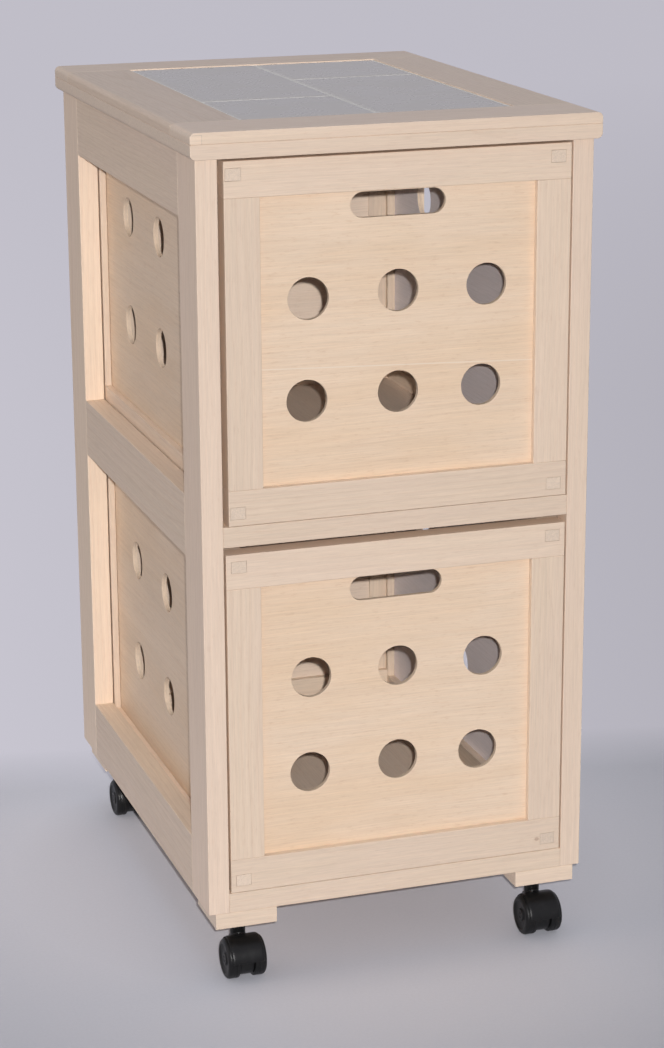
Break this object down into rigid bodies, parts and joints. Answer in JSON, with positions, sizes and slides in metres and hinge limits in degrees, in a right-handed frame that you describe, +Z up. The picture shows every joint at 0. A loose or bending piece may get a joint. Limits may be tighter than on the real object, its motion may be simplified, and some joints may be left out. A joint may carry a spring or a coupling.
{
  "type": "vegetable bin cabinet",
  "caption": "Narrow wooden kitchen cabinet on casters with a tiled top and pull-out framed bins with vent holes and hand slots.",
  "frame": {"origin": "on the floor, under the centre of the top", "axes": "+Z up, -Y out of the front of the bins, +X to the right as seen from the front"},
  "size_m": [0.3, 0.4, 0.625],
  "materials": {
    "solid_wood": "satin",
    "veneer_ply": "satin",
    "tile": "gloss",
    "grout": "matte",
    "caster_plastic": "satin",
    "steel": "satin"
  },
  "bodies": {
    "cabinet": {"top_board": "solid_wood", "top_rail_front": "solid_wood", "top_rail_back": "solid_wood", "top_rail_left": "solid_wood", "top_rail_right": "solid_wood", "tile_grout": "grout", "tile_left_long": "tile", "tile_left_square": "tile", "tile_right_square": "tile", "tile_right_long": "tile", "post_front_left": "solid_wood", "post_front_right": "solid_wood", "post_back_left": "solid_wood", "post_back_right": "solid_wood", "side_rail_left_top": "solid_wood", "side_rail_left_middle": "solid_wood", "side_rail_left_bottom": "solid_wood", "side_rail_right_top": "solid_wood", "side_rail_right_middle": "solid_wood", "side_rail_right_bottom": "solid_wood", "front_rail_middle": "solid_wood", "front_rail_bottom": "solid_wood", "back_rail_top": "solid_wood", "back_rail_middle": "solid_wood", "back_rail_bottom": "solid_wood", "bin_runners": "solid_wood", "caster_blocks": "solid_wood", "caster_pins": "steel"},
    "upper_bin": {"upper_front_stile_left": "solid_wood", "upper_front_stile_right": "solid_wood", "upper_front_rail_top": "solid_wood", "upper_front_rail_bottom": "solid_wood", "upper_front_panel": "veneer_ply", "upper_side_rails": "solid_wood", "upper_rear_posts": "solid_wood", "upper_side_panel_left": "veneer_ply", "upper_side_panel_right": "veneer_ply", "upper_back_frame": "solid_wood", "upper_back_panel": "veneer_ply", "upper_floor": "veneer_ply"},
    "lower_bin": {"lower_front_stile_left": "solid_wood", "lower_front_stile_right": "solid_wood", "lower_front_rail_top": "solid_wood", "lower_front_rail_bottom": "solid_wood", "lower_front_panel": "veneer_ply", "lower_side_rails": "solid_wood", "lower_rear_posts": "solid_wood", "lower_side_panel_left": "veneer_ply", "lower_side_panel_right": "veneer_ply", "lower_back_frame": "solid_wood", "lower_back_panel": "veneer_ply", "lower_floor": "veneer_ply"},
    "caster_swivel_front_left": {"caster_hood_front_left": "caster_plastic"},
    "caster_roll_front_left": {"caster_wheels_front_left": "caster_plastic"},
    "caster_swivel_front_right": {"caster_hood_front_right": "caster_plastic"},
    "caster_roll_front_right": {"caster_wheels_front_right": "caster_plastic"},
    "caster_swivel_back_left": {"caster_hood_back_left": "caster_plastic"},
    "caster_roll_back_left": {"caster_wheels_back_left": "caster_plastic"},
    "caster_swivel_back_right": {"caster_hood_back_right": "caster_plastic"},
    "caster_roll_back_right": {"caster_wheels_back_right": "caster_plastic"}
  },
  "joints": [
    {"name": "upper_bin_slide", "type": "slide", "parent": "cabinet", "child": "upper_bin", "axis": [0, -1, 0], "range_m": [0, 0.26]},
    {"name": "lower_bin_slide", "type": "slide", "parent": "cabinet", "child": "lower_bin", "axis": [0, -1, 0], "range_m": [0, 0.26]},
    {"name": "swivel_front_left", "type": "hinge", "parent": "cabinet", "child": "caster_swivel_front_left", "pos_m": [-0.11725, -0.1705, 0.044], "axis": [0, 0, 1], "continuous": true},
    {"name": "roll_front_left", "type": "hinge", "parent": "caster_swivel_front_left", "child": "caster_roll_front_left", "pos_m": [-0.11725, -0.1835, 0.015], "axis": [1, 0, 0], "continuous": true},
    {"name": "swivel_front_right", "type": "hinge", "parent": "cabinet", "child": "caster_swivel_front_right", "pos_m": [0.11725, -0.1705, 0.044], "axis": [0, 0, 1], "continuous": true},
    {"name": "roll_front_right", "type": "hinge", "parent": "caster_swivel_front_right", "child": "caster_roll_front_right", "pos_m": [0.11725, -0.1835, 0.015], "axis": [1, 0, 0], "continuous": true},
    {"name": "swivel_back_left", "type": "hinge", "parent": "cabinet", "child": "caster_swivel_back_left", "pos_m": [-0.11725, 0.1625, 0.044], "axis": [0, 0, 1], "continuous": true},
    {"name": "roll_back_left", "type": "hinge", "parent": "caster_swivel_back_left", "child": "caster_roll_back_left", "pos_m": [-0.11725, 0.1495, 0.015], "axis": [1, 0, 0], "continuous": true},
    {"name": "swivel_back_right", "type": "hinge", "parent": "cabinet", "child": "caster_swivel_back_right", "pos_m": [0.11725, 0.1625, 0.044], "axis": [0, 0, 1], "continuous": true},
    {"name": "roll_back_right", "type": "hinge", "parent": "caster_swivel_back_right", "child": "caster_roll_back_right", "pos_m": [0.11725, 0.1495, 0.015], "axis": [1, 0, 0], "continuous": true}
  ]
}
